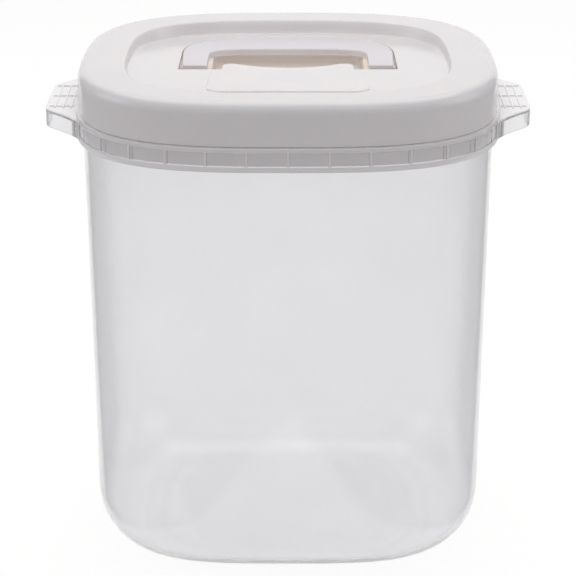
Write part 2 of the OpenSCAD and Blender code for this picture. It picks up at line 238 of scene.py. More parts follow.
def applyModifiers(piece):
    graph = bpy.context.evaluated_depsgraph_get()
    done = bpy.data.meshes.new_from_object(piece.evaluated_get(graph))
    piece.modifiers.clear()
    old = piece.data
    piece.data = done
    bpy.data.meshes.remove(old)


def dress(piece, material, body, node, sharp=32):
    for face in piece.data.polygons:
        face.use_smooth = True
    piece.data.set_sharp_from_angle(angle=math.radians(sharp))
    even = piece.modifiers.new("evenShading", "WEIGHTED_NORMAL")
    even.keep_sharp = True
    piece.data.materials.clear()
    piece.data.materials.append(material)
    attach(piece, body)
    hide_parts(node)


# tub: one clear moulding with its rim band and ears
rim = dict(
    out=4, height=14, wall=1.6, topBead=2.4, footBead=3.2, sink=0.6,
    ribPitch=24.3, rib=1.3, ribRound=0.35,
    topR=0.7, beadR=0.25, sinkR=0.2, footR=0.6, innerR=0.4, rootR=0.5,
)
ear = dict(
    length=60, out=18,                          # the straight grip, and how far it stands out
    flank=34, flankShare=0.9, sweep=1.9,        # how it runs into the rim on both sides
    corner=4, topR=0.8, footR=1.4, drop=1.5, height=11.2, sink=0.4,
    plate=2, wall=1.8, hollowR=1, hollowEnd=1.2,
    grip=1, gripPitch=4.8, gripHigh=0.5, gripR=0.3, margin=2, crossPitch=24, crossExtra=0.1,
)


def tubProfile():
    # from the side's inside over the neck, round the rim band and back under it to the side
    ledge, rise = tub["ledge"], tub["neckRise"]
    inside = -tub["neckStep"] - tub["wall"]
    foot = ledge - rim["height"]
    beadFoot = ledge - rim["topBead"]
    beadTop = foot + rim["footBead"]
    sunk = rim["out"] - rim["sink"]
    skirtIn = rim["out"] - rim["wall"]
    return roundCorners([
        (-tub["wall"], ledge - 3 * rise, 0),
        (-tub["wall"], ledge - rise, 0),
        (inside, ledge + rise, 0),
        (inside, tub["neckTop"], tub["edge"]),
        (-tub["neckStep"], tub["neckTop"], tub["edge"]),
        (-tub["neckStep"], ledge, rim["innerR"]),
        (rim["out"], ledge, rim["topR"]),
        (rim["out"], beadFoot, rim["beadR"]),
        (sunk, beadFoot - rim["sink"], rim["sinkR"]),
        (sunk, beadTop + rim["sink"], rim["sinkR"]),
        (rim["out"], beadTop, rim["beadR"]),
        (rim["out"], foot, rim["footR"]),
        (skirtIn, foot, rim["innerR"]),
        (skirtIn, beadFoot, rim["innerR"]),
        (0, beadFoot, rim["rootR"]),
        (0, beadFoot - 4 * rise, 0),
    ], 3)


def buildTubShell():
    # the inner skin up from the floor, the profile, then the outer skin back down
    mesh = bmesh.new()
    rings = []
    for skin, drop in ((tub["wall"], tub["innerTop"]), (0, tub["outerTop"])):
        radius = tub["baseR"] - (tub["floor"] if skin else 0)
        wallTop = tub["ledge"] - drop
        side = []
        for i in range(smooth["base"] + 1):
            a = math.pi / 2 * (1 - i / smooth["base"])
            out = sideOut(tub["baseR"]) - skin - radius * (1 - math.cos(a))
            side.append(levelRing(out, tub["baseR"] - radius * math.sin(a), tub["baseForm"]))
        for i in range(1, smooth["side"] + 1):
            z = tub["baseR"] + (wallTop - tub["baseR"]) * i / smooth["side"]
            side.append(levelRing(sideOut(z) - skin, z, sideForm(z)))
        if skin:
            rings = side + [levelRing(p.x, p.y) for p in tubProfile()]
        else:
            rings += side[::-1]
    rows = addRings(mesh, rings)
    mesh.faces.new(rows[0])
    mesh.faces.new(rows[-1][::-1])
    return newObject("tub", mesh)


def rimWalk():
    # points evenly spaced by length along the rim, with their outward direction
    halfX, halfY = tub["halfW"] + rim["out"], tub["halfD"] + rim["out"]
    steps = 1440
    turns = [2 * math.pi * i / steps for i in range(steps + 1)]
    points = [planPoint(halfX, halfY, tub["topForm"], a) for a in turns]
    lengths = [0]
    for a, b in zip(points, points[1:]):
        lengths.append(lengths[-1] + (b - a).length)
    count = 4 * round(lengths[-1] / rim["ribPitch"] / 4)
    walk = []
    at = 0
    for k in range(count):
        want = lengths[-1] * k / count
        while lengths[at + 1] < want:
            at += 1
        share = (want - lengths[at]) / (lengths[at + 1] - lengths[at])
        p = points[at].lerp(points[at + 1], share)
        walk.append((p, planNormal(halfX, halfY, tub["topForm"], p)))
    return walk


def buildRimRibs():
    mesh = bmesh.new()
    low = tub["ledge"] - rim["height"] + rim["footBead"] / 2
    high = tub["ledge"] - rim["topBead"] / 2
    bare = ear["length"] / 2 + ear["flank"]
    for p, n in rimWalk():
        if abs(p.y) <= bare:
            continue
        side = Vector((-n.y, n.x)) * rim["rib"] / 2
        back = -n * (rim["out"] + tub["wall"] / 2)
        shy = n * -rim["ribRound"]
        front = [p - side + shy, p - side * 0.5, p + side * 0.5, p + side + shy]
        outline = [p + back - side] + front + [p + back + side]
        addSlab(mesh, outline, [(0, low), (0, high)], upright)
    return newObject("ribs", mesh)


def rimX(y):
    halfX, halfY = tub["halfW"] + rim["out"], tub["halfD"] + rim["out"]
    return halfX * (1 - min(1, abs(y) / halfY) ** tub["topForm"]) ** (1 / tub["topForm"])


def earReach(y):
    # how far the ear stands out from the rim; the average over a short stretch rounds its corners
    samples = 9
    total = 0
    for k in range(samples):
        at = abs(y) + ear["corner"] * (2 * k / (samples - 1) - 1)
        total += (1 - max(0, min(1, (at - ear["length"] / 2) / ear["flank"]))) ** ear["sweep"]
    return ear["out"] * total / samples


def earSlab(name, rings, end, root, along, place):
    # rings are (inset, height); each runs out along the ear's outer line and back inside the rim
    steps = 96
    ys = [end * (2 * i / steps - 1) for i in range(steps + 1)]
    loops = []
    for inset, z in rings:
        reach = [max(-ear["sink"], earReach(abs(y) + along) - inset) for y in ys]
        outer = [(rimX(y) + out, y) for y, out in zip(ys, reach)]
        inner = [(rimX(y) - root, y) for y in reversed(ys)]
        loops.append([place(x, y, z) for x, y in outer + inner])
    mesh = bmesh.new()
    rows = addRings(mesh, loops)
    mesh.faces.new(rows[0][::-1])
    mesh.faces.new(rows[-1])
    return newObject(name, mesh)


def gripRows():
    # the fine grid on the ear's top, as (x from, x to, y from, y to): lines along it, then across
    half, pitch = ear["grip"] / 2, ear["gripPitch"]
    rimSide = tub["halfW"] + rim["out"]
    strip = ear["length"] / 2 - ear["margin"]
    reach = ear["out"] - ear["margin"] - ear["grip"]
    count = int((reach - pitch / 2) / pitch) + 1
    middles = [rimSide + pitch * (k + 0.5) for k in range(count)]
    along = [(x - half, x + half, -strip, strip) for x in middles]
    start = rimSide + half
    across = [(start, start + reach, y - half, y + half)
              for y in (-ear["crossPitch"], 0, ear["crossPitch"])]
    return along, across


def buildEar(sign):
    top = tub["ledge"] - ear["drop"]
    foot = top - ear["height"]
    ceiling = top - ear["plate"]

    def place(x, y, z):
        return Vector((sign * x, sign * y, z))

    rings = [(ear["footR"] * inset, foot + ear["footR"] * rise) for inset, rise in quarterTurn(5)]
    rings += [(ear["topR"] * rise, top - ear["topR"] * inset) for inset, rise in quarterTurn(5)]
    end = ear["length"] / 2 + ear["flankShare"] * ear["flank"]
    body = earSlab("ear", rings, end, rim["wall"] / 2, 0, place)

    # the hollow for the fingertips is open below and rounded under the ear's plate
    wall, r = ear["wall"], ear["hollowR"]
    rings = [(wall, foot - r), (wall, ceiling - r),
             (wall + 0.3 * r, ceiling - 0.3 * r), (wall + r, ceiling)]
    share = ((wall + ear["hollowEnd"]) / ear["out"]) ** (1 / ear["sweep"])
    end = ear["length"] / 2 - wall + ear["flank"] * (1 - share)
    combine(body, earSlab("hollow", rings, end, rim["wall"], wall, place), "DIFFERENCE")

    for rows, extra in zip(gripRows(), (0, ear["crossExtra"])):
        high = ear["gripHigh"] + extra
        levels = [(0, top - ear["sink"]), (0, top + high * 0.5),
                  (ear["gripR"] * 0.4, top + high * 0.85), (ear["gripR"], top + high)]
        mesh = bmesh.new()
        for x0, x1, y0, y1 in rows:
            outline = [Vector(c) for c in ((x0, y0), (x1, y0), (x1, y1), (x0, y1))]
            addSlab(mesh, outline, levels, place)
        combine(body, newObject("grip", mesh), "UNION")
    return body


clearMoulding = dict(
    color="F9F9FB", haze=0.09, roughness=0.1, ior=1.49,
    patchSize=60, patchDepth=0.012,         # size of the cloudy patches, and how much the haze varies
    rippleSize=9, ripple=0.05, rippleHigh=0.3,
    rimHaze=0.03, rimFrom=235, rimTo=276,   # the side grows milkier between two heights
    thickHaze=0.4,                          # beads and ribs, between two depths in the rim's face
    thickDepth=0.5, thickFull=0.15,
    earHaze=0.48, earFrom=0.5, earTo=2,     # the ears' tops as well, from so far outside the rim
    topFrom=1, topTo=0.2, neckGap=0.3,      # between two depths below their tops, and not on the neck
    floorHaze=0.06, floorTop=3,             # the flat floor, up to a height
    passing=0.95,                           # share of the falling light that each face lets through
)


def clearPolypropylene():
    # injection-moulded clear polypropylene: see-through with a milky haze and a soft gloss
    values = clearMoulding
    material, tree = startMaterial("clearPolypropyleneMoulded")
    where = addNode(tree, "ShaderNodeTexCoord")
    ripple = addNode(tree, "ShaderNodeTexNoise", {}, {
        "Vector": (where, "Object"), "Scale": 1 / (values["rippleSize"] * mm), "Detail": 2})
    bump = addNode(tree, "ShaderNodeBump", {}, {
        "Height": (ripple, "Fac"), "Strength": values["ripple"], "Distance": values["rippleHigh"] * mm})
    patch = addNode(tree, "ShaderNodeTexNoise", {}, {
        "Vector": (where, "Object"), "Scale": 1 / (values["patchSize"] * mm), "Detail": 3})
    spread = addNode(tree, "ShaderNodeMapRange", {}, {
        "Value": (patch, "Fac"), "From Min": noiseLow, "From Max": noiseHigh,
        "To Min": 1 - values["haze"] - values["patchDepth"],
        "To Max": 1 - values["haze"] + values["patchDepth"]})
    axes = addNode(tree, "ShaderNodeSeparateXYZ", {}, {"Vector": (where, "Object")})
    milky = addNode(tree, "ShaderNodeMapRange", {}, {
        "Value": (axes, "Z"), "From Min": values["rimFrom"] * mm, "From Max": values["rimTo"] * mm,
        "To Min": 0, "To Max": values["rimHaze"]})
    # the rim's plan outline is 1 on its outer face, less in its sunk windows and more on the ears
    halfX, halfY = tub["halfW"] + rim["out"], tub["halfD"] + rim["out"]
    size = addNode(tree, "ShaderNodeVectorMath", {"operation": "ABSOLUTE"}, {0: (where, "Object")})
    share = addNode(tree, "ShaderNodeVectorMath", {"operation": "DIVIDE"}, {
        0: (size, "Vector"), 1: [halfX * mm, halfY * mm, 1]})
    shareAxes = addNode(tree, "ShaderNodeSeparateXYZ", {}, {"Vector": (share, "Vector")})
    powers = [addNode(tree, "ShaderNodeMath", {"operation": "POWER"}, {
        0: (shareAxes, axis), 1: tub["topForm"]}) for axis in ("X", "Y")]
    total = addNode(tree, "ShaderNodeMath", {"operation": "ADD"}, {
        0: (powers[0], "Value"), 1: (powers[1], "Value")})
    outline = addNode(tree, "ShaderNodeMath", {"operation": "POWER"}, {
        0: (total, "Value"), 1: 1 / tub["topForm"]})
    beside = addNode(tree, "ShaderNodeMapRange", {}, {
        "Value": (outline, "Value"), "From Min": 1 - values["thickDepth"] / halfX,
        "From Max": 1 - values["thickFull"] / halfX})
    outside = addNode(tree, "ShaderNodeMapRange", {}, {
        "Value": (outline, "Value"), "From Min": 1 + values["earFrom"] / halfX,
        "From Max": 1 + values["earTo"] / halfX})
    earTop = tub["ledge"] - ear["drop"]
    top = addNode(tree, "ShaderNodeMapRange", {}, {
        "Value": (axes, "Z"), "From Min": (earTop - values["topFrom"]) * mm,
        "From Max": (earTop - values["topTo"]) * mm})
    band = addNode(tree, "ShaderNodeMath", {"operation": "SUBTRACT"}, {
        0: (beside, "Result"), 1: (outside, "Result")})
    belowNeck = addNode(tree, "ShaderNodeMath", {"operation": "LESS_THAN"}, {
        0: (axes, "Z"), 1: (tub["ledge"] + values["neckGap"]) * mm})
    lip = addNode(tree, "ShaderNodeMath", {"operation": "MULTIPLY"}, {
        0: (top, "Result"), 1: (belowNeck, "Value")})
    thick = addNode(tree, "ShaderNodeMath", {"operation": "MAXIMUM"}, {
        0: (band, "Value"), 1: (lip, "Value")})
    onEar = addNode(tree, "ShaderNodeMath", {"operation": "MULTIPLY"}, {
        0: (outside, "Result"), 1: (top, "Result")})
    low = addNode(tree, "ShaderNodeMapRange", {}, {
        "Value": (axes, "Z"), "From Min": values["floorTop"] * mm, "From Max": tub["floor"] * mm,
        "To Min": 0, "To Max": values["floorHaze"]})
    milk = (milky, "Result")
    for place, much in (((thick, "Value"), values["thickHaze"]),
                        ((onEar, "Value"), values["earHaze"]), ((low, "Result"), 1)):
        more = addNode(tree, "ShaderNodeMath", {"operation": "MULTIPLY_ADD"}, {
            0: place, 1: much, 2: milk})
        milk = (more, "Value")
    clear = addNode(tree, "ShaderNodeMath", {"operation": "SUBTRACT", "use_clamp": True}, {
        0: (spread, "Result"), 1: milk})
    surface = addNode(tree, "ShaderNodeBsdfPrincipled", {}, {
        "Base Color": linearColor(values["color"]),
        "Roughness": values["roughness"],
        "IOR": values["ior"],
        "Transmission Weight": (clear, "Value"),
        "Normal": (bump, "Normal")})
    # light that falls through the clear walls still reaches the tray and the floor
    path = addNode(tree, "ShaderNodeLightPath")
    falling = addNode(tree, "ShaderNodeMath", {"operation": "MAXIMUM"}, {
        0: (path, "Is Shadow Ray"), 1: (path, "Is Diffuse Ray")})
    passed = addNode(tree, "ShaderNodeBsdfTransparent", {}, {"Color": [values["passing"]] * 3 + [1]})
    mix = addNode(tree, "ShaderNodeMixShader", {}, {
        0: (falling, "Value"), 1: (surface, "BSDF"), 2: (passed, "BSDF")})
    addNode(tree, "ShaderNodeOutputMaterial", {}, {"Surface": (mix, "Shader")})
    return material


tubPiece = buildTubShell()
combine(tubPiece, buildRimRibs(), "UNION")
for sign in (1, -1):
    combine(tubPiece, buildEar(sign), "UNION")
dress(tubPiece, clearPolypropylene(), "tub", "container")
print("tub built:", len(tubPiece.data.polygons), "faces")


# lid cover: white cap with a sloping recess, the handle's opening and the tongue
lid = dict(
    foot=277.1, height=24.6, wall=2, top=2.2, border=27, neckFit=0.8,
    edge=6.3, footR=0.6, insideR=1.2, rootR=0.3,                # roundness of the skirt's corners
    recessForm=3.2, drop=8.2, run=5, underOut=1.6,              # the recess and the slope down to it
    panel=0.9, panelIn=2, panelR=9.5, panelGap=0.8, panelEdge=1.6, panelEdgeHigh=0.8,
    sealHigh=5.2, sealWide=3.8, sealR=1.5, sealTopR=0.2,
    plug=1.4, plugDrop=16.2, plugR=0.5,                         # ring inside the lid that holds the seal
)
lidOut = lid["neckFit"] - tub["neckStep"] + lid["wall"]
lidTop = lid["foot"] + lid["height"]
underTop = lidTop - lid["top"]
recessA = tub["halfW"] + lidOut - lid["border"]
recessB = tub["halfD"] + lidOut - lid["border"]
ramp = math.atan(lid["drop"] / (2 * recessB))
rampZ = lidTop - lid["drop"] / 2

handle = dict(
    width=129.4, leg=16.2, taper=1.7, thick=4.2, bar=40, strip=10, wall=2.4, skin=2, gap=0.5,
    bendDepth=52, bendForm=2.5, gripBend=22, gripForm=4,        # the outer and the inner bow
    crown=0.9, underR=0.6, edgeR=0.3, hollowR=0.4, lap=0.5,
    heel=6.5, heelThick=8, heelR=0.9,                           # the legs' ends, round the pivot
    pivotY=-8, pivotDrop=5, pin=2.2, pinRoot=0.7,
    stay=1.6, stayPitch=15, stayCount=7, stayR=0.25,            # cross walls inside the bow
    stayShort=0.1, stayIn=1, stayOut=1.2,                       # how far they stay from its faces
)
handleA = handle["width"] / 2
handleBack = recessB - lid["run"] - handle["strip"]
bendY = handleBack - handle["bendDepth"]
gripA = handleA - handle["leg"]
gripBack = handleBack - handle["bar"]
gripY = gripBack - handle["gripBend"]
heelY = handle["pivotY"] - handle["heel"]
heelEnd = handle["pivotY"] + handle["heel"]
heelCorner = math.hypot(handle["heel"], handle["heelThick"] - handle["pivotDrop"])
heelBack = handle["pivotY"] + heelCorner + handle["gap"]
pocketA = handleA + handle["gap"]
pocketDepth = handle["bendDepth"] + handle["gap"]

well = dict(
    notch=19, pocketR=1.2, lipR=0.6,                            # the opening in the lid
    tongueW=78.4, tongueL=17, tongueR=1, horn=5.6, scoop=46,
    depth=20, wall=2, cornerR=5, outerR=4, margin=2,            # the finger well itself
    flange=8, flangeT=1.8, rest=0.3, shelfEdge=0.5,
    bearing=3, pinFit=0.05, troughR=1.5, swing=1.6, stopAngle=98, stopLap=1.5, cutR=0.6,
)
pocketFront = handle["pivotY"] - well["notch"]


def onRamp(x, y, z):
    # the recess floor's own frame: y runs back along the slope, z stands square on it
    c, s = math.cos(ramp), math.sin(ramp)
    return Vector((x, y * c + z * s, rampZ - y * s + z * c))


def rampHeight(y):
    return rampZ - y * math.tan(ramp)


def slopeRing(k, under):
    ring = []
    for i in range(smooth["around"]):
        p = planPoint(recessA, recessB, lid["recessForm"], 2 * math.pi * i / smooth["around"])
        n = planNormal(recessA, recessB, lid["recessForm"], p)
        deep = max(0, lidTop - rampHeight(p.y)) / lid["drop"]
        run = 1 + (lid["run"] - 1) * deep
        q = p - n * (run * k - under * lid["underOut"])
        fall = (lidTop - rampHeight(q.y)) * (1 - math.cos(math.pi * k)) / 2
        ring.append(Vector((q.x, q.y, lidTop - fall - under * lid["top"] / math.cos(ramp))))
    return ring


def pocketOutline():
    # the opening for the folded handle, with the tongue left standing in it; counter-clockwise
    edge = well["tongueW"] / 2
    hornX = edge - well["horn"]
    hornY = pocketFront + well["tongueL"] - well["horn"]
    reach = well["scoop"] + well["horn"]
    scoopY = hornY + math.sqrt(reach ** 2 - hornX ** 2)
    turn = math.degrees(math.atan2(scoopY - hornY, hornX))
    back = halfBow(pocketA, pocketDepth, bendY, handle["bendForm"], 48)[1:-1]
    right = roundCorners([(pocketA, bendY, 0), (pocketA, pocketFront, well["pocketR"]),
                          (edge, pocketFront, well["tongueR"]), (edge, hornY, 0)], 4)[:-1]
    tongue = (arcPoints((hornX, hornY), well["horn"], 0, 180 - turn, 12)
              + arcPoints((0, scoopY), well["scoop"], 360 - turn, 180 + turn, 32)[1:-1]
              + arcPoints((-hornX, hornY), well["horn"], turn, 180, 12))
    left = [Vector((-p.x, p.y)) for p in reversed(right)]
    loop = right + tongue + left + back[::-1]
    return loop[::-1]


def insideLoop(loop, p):
    inside = False
    for i, a in enumerate(loop):
        b = loop[i - 1]
        if (a.y > p.y) != (b.y > p.y) and p.x < (b.x - a.x) * (p.y - a.y) / (b.y - a.y) + a.x:
            inside = not inside
    return inside


def buildPanel():
    # wedge that leaves the recess floor at the opening and stands proud at its front edge
    front = -recessB
    end = pocketFront - lid["panelGap"]
    a = gripA - lid["panelIn"]
    r = lid["panelR"]
    outline = ([Vector((-a, end)), *arcPoints((-a + r, front + r), r, 180, 270, 12)]
               + [*arcPoints((a - r, front + r), r, 270, 360, 12), Vector((a, end))])

    def place(x, y, z):
        return onRamp(x, y, z + lid["panel"] * (pocketFront - y) / (pocketFront - front))

    wide, high = lid["panelEdge"], lid["panelEdgeHigh"]
    levels = [(0, -2 * high)] + [(wide * rise, -high * inset) for inset, rise in quarterTurn(6)]
    return slabPiece("panel", outline, levels, place)


def fillSheet(mesh, outer, hole, drop):
    # triangles on the ramp between an outer ring and a hole; gives back the hole's corners
    points = outer + hole
    edges = []
    for first, count in ((0, len(outer)), (len(outer), len(hole))):
        edges += [(first + i, first + (i + 1) % count) for i in range(count)]
    spots, _, faces, origins, _, _ = delaunay_2d_cdt(points, edges, [], 0, 1e-5)
    verts = [mesh.verts.new((p.x, p.y, rampHeight(p.y) - drop)) for p in spots]
    corner = {old: vert for vert, olds in zip(verts, origins) for old in olds}
    for face in faces:
        middle = sum((spots[k] for k in face), Vector((0, 0))) / len(face)
        if insideLoop(outer, middle) and not insideLoop(hole, middle):
            mesh.faces.new([verts[k] for k in face])
    return [corner[len(outer) + i] for i in range(len(hole))]


def joinLoops(mesh, a, b):
    for i in range(len(a)):
        j = (i + 1) % len(a)
        mesh.faces.new((a[i], a[j], b[j], b[i]))


def flatten(ring):
    return [Vector((p.x, p.y)) for p in ring]


def buildLid():
    mesh = bmesh.new()
    plugOut = lid["neckFit"] - tub["neckStep"] - well["rest"] - lid["sealWide"] - well["rest"]
    plugFoot = tub["ledge"] - lid["plugDrop"]
    plugIn = plugOut - lid["plug"]
    skirt = roundCorners([
        (lidOut - lid["border"] * 0.5, lidTop, 0),
        (lidOut, lidTop, lid["edge"]),
        (lidOut, lid["foot"], lid["footR"]),
        (lidOut - lid["wall"], lid["foot"], lid["footR"]),
        (lidOut - lid["wall"], underTop, lid["insideR"]),
        (plugOut, underTop, lid["rootR"]),
        (plugOut, plugFoot, lid["plugR"]),
        (plugIn, plugFoot, lid["plugR"]),
        (plugIn, underTop, lid["rootR"]),
        (plugIn - 1, underTop, 0),
    ], 10)
    steps = 12
    down = [slopeRing(i / steps, 0) for i in range(steps + 1)]
    back = [slopeRing(i / steps, 1) for i in range(steps + 1)]
    rings = down[::-1] + [levelRing(p.x, p.y) for p in skirt] + back
    addRings(mesh, rings)

    hole = pocketOutline()
    lip = well["lipR"]
    topHole = flatten(onRamp(p.x, p.y, 0) for p in offsetLoop(hole, -lip))
    holeRow = fillSheet(mesh, flatten(rings[0]), topHole, 0)
    # the lip round the opening, then its wall down to the underside
    loops = []
    for inset, rise in quarterTurn(4)[1:]:
        loops.append([onRamp(p.x, p.y, -lip * rise) for p in offsetLoop(hole, -lip * inset)])
    loops.append([onRamp(p.x, p.y, -lid["top"]) for p in hole])
    wallRows = [[mesh.verts.new(p) for p in loop] for loop in loops]
    joinLoops(mesh, holeRow, wallRows[0])
    for a, b in zip(wallRows, wallRows[1:]):
        joinLoops(mesh, a, b)
    fillSheet(mesh, flatten(rings[-1]), flatten(v.co for v in wallRows[-1]), lid["top"] / math.cos(ramp))
    bmesh.ops.remove_doubles(mesh, verts=mesh.verts, dist=1e-3)
    piece = newObject("lidCover", mesh)
    combine(piece, buildPanel(), "UNION")
    return piece


whiteMoulding = dict(
    color="E4E2E4", roughness=0.13, polish=0.03, ior=1.49,
    soft=0.5, softDepth=4,        # light that spreads inside the plastic, and how far
    through=0,                    # share of the light behind a thin moulding that comes through
    cloudSize=45, cloud=0.012, grainSize=0.9, grain=0.05, grainHigh=0.05,
)


def whitePolypropylene(name, values):
    # injection-moulded white polypropylene: satin gloss, faintly waxy, very fine tool texture
    material, tree = startMaterial(name)
    where = addNode(tree, "ShaderNodeTexCoord")
    cloud = addNode(tree, "ShaderNodeTexNoise", {}, {
        "Vector": (where, "Object"), "Scale": 1 / (values["cloudSize"] * mm), "Detail": 3})
    shade = addNode(tree, "ShaderNodeMapRange", {}, {
        "Value": (cloud, "Fac"), "From Min": noiseLow, "From Max": noiseHigh,
        "To Min": 1 - values["cloud"], "To Max": 1 + values["cloud"]})
    base = linearColor(values["color"])
    tint = addNode(tree, "ShaderNodeMixRGB", {"blend_type": "MULTIPLY"}, {
        "Fac": 1, "Color1": base, "Color2": (shade, "Result")})
    grain = addNode(tree, "ShaderNodeTexNoise", {}, {
        "Vector": (where, "Object"), "Scale": 1 / (values["grainSize"] * mm), "Detail": 2})
    bump = addNode(tree, "ShaderNodeBump", {}, {
        "Height": (grain, "Fac"), "Strength": values["grain"], "Distance": values["grainHigh"] * mm})
    polish = addNode(tree, "ShaderNodeMapRange", {}, {
        "Value": (cloud, "Fac"), "From Min": noiseLow, "From Max": noiseHigh,
        "To Min": values["roughness"] - values["polish"],
        "To Max": values["roughness"] + values["polish"]})
    surface = addNode(tree, "ShaderNodeBsdfPrincipled", {}, {
        "Base Color": (tint, "Color"),
        "Roughness": (polish, "Result"),
        "IOR": values["ior"],
        "Subsurface Weight": values["soft"],
        "Subsurface Radius": [1, 0.75, 0.6],
        "Subsurface Scale": values["softDepth"] * mm,
        "Normal": (bump, "Normal")})
    if values["through"]:
        # a thin light moulding also lets the light behind it through
        glow = addNode(tree, "ShaderNodeBsdfTranslucent", {}, {"Color": base})
        surface = addNode(tree, "ShaderNodeMixShader", {}, {
            0: values["through"], 1: (surface, "BSDF"), 2: (glow, "BSDF")})
    addNode(tree, "ShaderNodeOutputMaterial", {}, {"Surface": (surface, surface.outputs[0].name)})
    return material


lidPiece = buildLid()
lidMaterial = whitePolypropylene("whitePolypropyleneMoulded", whiteMoulding)
dress(lidPiece, lidMaterial, "lid", "lid_cover")
print("lid built:", len(lidPiece.data.polygons), "faces")


# carry handle: a hollow bow with solid heels, which turns on two pins
def handleOutline(inset, start):
    leg = handleA - handle["taper"] - inset
    outer = halfBow(handleA - inset, handle["bendDepth"] - inset, bendY, handle["bendForm"], 64)
    inner = halfBow(gripA + inset, handle["gripBend"] + inset, gripY, handle["gripForm"], 48)
    ends = [Vector((x, start + inset)) for x in (leg, -leg, -gripA - inset, gripA + inset)]
    return ends[:1] + outer + ends[1:3] + inner[::-1] + ends[3:]


def pinPiece(name, start, end, radius, place, tip=0.4, sides=48):
    # round pin along X with a bevelled tip
    mesh = bmesh.new()
    y, z = handle["pivotY"], -handle["pivotDrop"]
    bevel = tip * 0.3
    shape = [(start, radius), (end - tip, radius), (end - bevel, radius - bevel), (end, radius - tip)]
    turns = [2 * math.pi * i / sides for i in range(sides)]
    rings = [[place(x, y + r * math.cos(a), z + r * math.sin(a)) for a in turns] for x, r in shape]
    rows = addRings(mesh, rings)
    mesh.faces.new(rows[0][::-1])
    mesh.faces.new(rows[-1])
    return newObject(name, mesh)


def buildHandle():
    foot = -handle["thick"]
    crown, under, edge = handle["crown"], handle["underR"], handle["edgeR"]
    wall, gap = handle["wall"], handle["gap"]
    hollowTop, root = -handle["skin"], handle["hollowR"]
    # (inset, height, where the legs start): over the crown, down the side, then up into the hollow
    rings = [(crown * inset, -crown * rise, heelY) for inset, rise in quarterTurn(6)]
    rings += [(under * rise, foot + under * inset, heelY) for inset, rise in quarterTurn(3)]
    rings += [(wall - edge, foot, heelEnd), (wall, foot + edge, heelEnd),
              (wall, hollowTop - root, heelEnd), (wall + root, hollowTop, heelEnd)]
    mesh = bmesh.new()
    rows = addRings(mesh, [[onRamp(p.x, p.y, z) for p in handleOutline(inset, start)]
                           for inset, z, start in rings])
    mesh.faces.new(rows[0][::-1])
    mesh.faces.new(rows[-1])
    piece = newObject("carryHandle", mesh)
    middle = handleA - handle["leg"] / 2
    pinEnd = handleA + gap - well["rest"]
    for sign in (1, -1):
        def place(x, y, z):
            return onRamp(sign * x, y, z)
        low = (gripA, heelY, -handle["heelThick"])
        high = (handleA - handle["taper"], heelEnd, -handle["lap"])
        boss = handle["pin"] + handle["pinRoot"]
        combine(piece, boxPiece("heel", low, high, handle["heelR"], place), "UNION")
        combine(piece, pinPiece("boss", middle, pinEnd, boss, place, 0.2), "UNION")
        combine(piece, pinPiece("pin", middle, pinEnd + well["bearing"], handle["pin"], place), "UNION")
    half = handle["stay"] / 2
    for k in range(handle["stayCount"]):
        x = handle["stayPitch"] * (k - (handle["stayCount"] - 1) // 2)
        inner = bowY(gripA, handle["gripBend"], gripY, handle["gripForm"], abs(x) - half)
        outer = bowY(handleA, handle["bendDepth"], bendY, handle["bendForm"], abs(x) + half)
        low = (x - half, inner + handle["stayIn"], foot + handle["stayShort"])
        high = (x + half, outer - handle["stayOut"], hollowTop + handle["lap"])
        combine(piece, boxPiece("stay", low, high, handle["stayR"], onRamp), "UNION")
    return piece


handleMoulding = dict(whiteMoulding, color="DDDCE1", roughness=0.3)
handlePiece = buildHandle()
handleMaterial = whitePolypropylene("whitePolypropyleneHandle", handleMoulding)
dress(handlePiece, handleMaterial, "handle", "carry_handle")
print("handle built:", len(handlePiece.data.polygons), "faces")


# finger tray: the well, the shelves under the legs and the pivot bearings
def pocketShape(grow):
    outer = halfBow(pocketA + grow, pocketDepth + grow, bendY, handle["bendForm"], 64)
    front = [Vector((side * (pocketA + grow), pocketFront - grow)) for side in (-1, 1)]
    return front + outer


